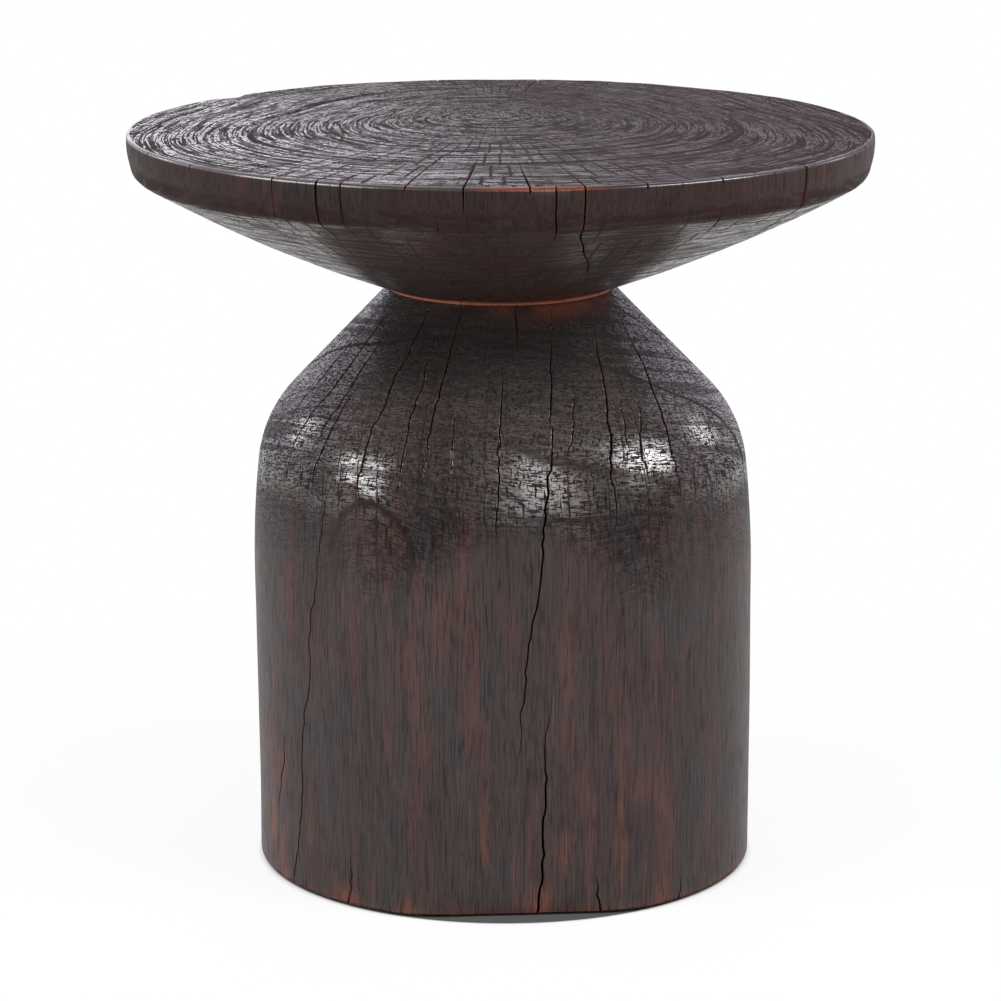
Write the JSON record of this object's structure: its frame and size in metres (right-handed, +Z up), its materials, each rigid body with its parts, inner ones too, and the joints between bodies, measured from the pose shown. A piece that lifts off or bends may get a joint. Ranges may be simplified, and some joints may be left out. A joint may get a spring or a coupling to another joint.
{
  "type": "side table",
  "caption": "Round side table in solid dark wood: a thick disc top with a bowl-shaped underside, held by a hidden tie rod on a bell-shaped log base.",
  "frame": {"origin": "on the floor, under the middle of the table", "axes": "+Z up, -Y out of the front flat of the base, which is turned a few degrees towards +X"},
  "size_m": [0.4992, 0.4992, 0.502],
  "materials": {
    "top_wood": "blackened end grain, rubbed to a satin sheen",
    "base_wood": "blackened long grain, satin, checked",
    "tenon_wood": "bare, turned",
    "plated_steel": "bright zinc plated",
    "insert_brass": "turned",
    "felt": "pressed felt"
  },
  "bodies": {
    "root": {"tabletop": "top_wood", "pedestal": "base_wood", "neck_tenon": "tenon_wood", "locating_dowel_1": "tenon_wood", "locating_dowel_2": "tenon_wood", "tie_rod": "plated_steel", "plate_washer": "plated_steel", "spring_washer": "plated_steel", "rod_nut": "plated_steel", "rod_insert": "insert_brass", "felt_glide_1": "felt", "felt_glide_2": "felt", "felt_glide_3": "felt", "felt_glide_4": "felt"}
  },
  "joints": []
}
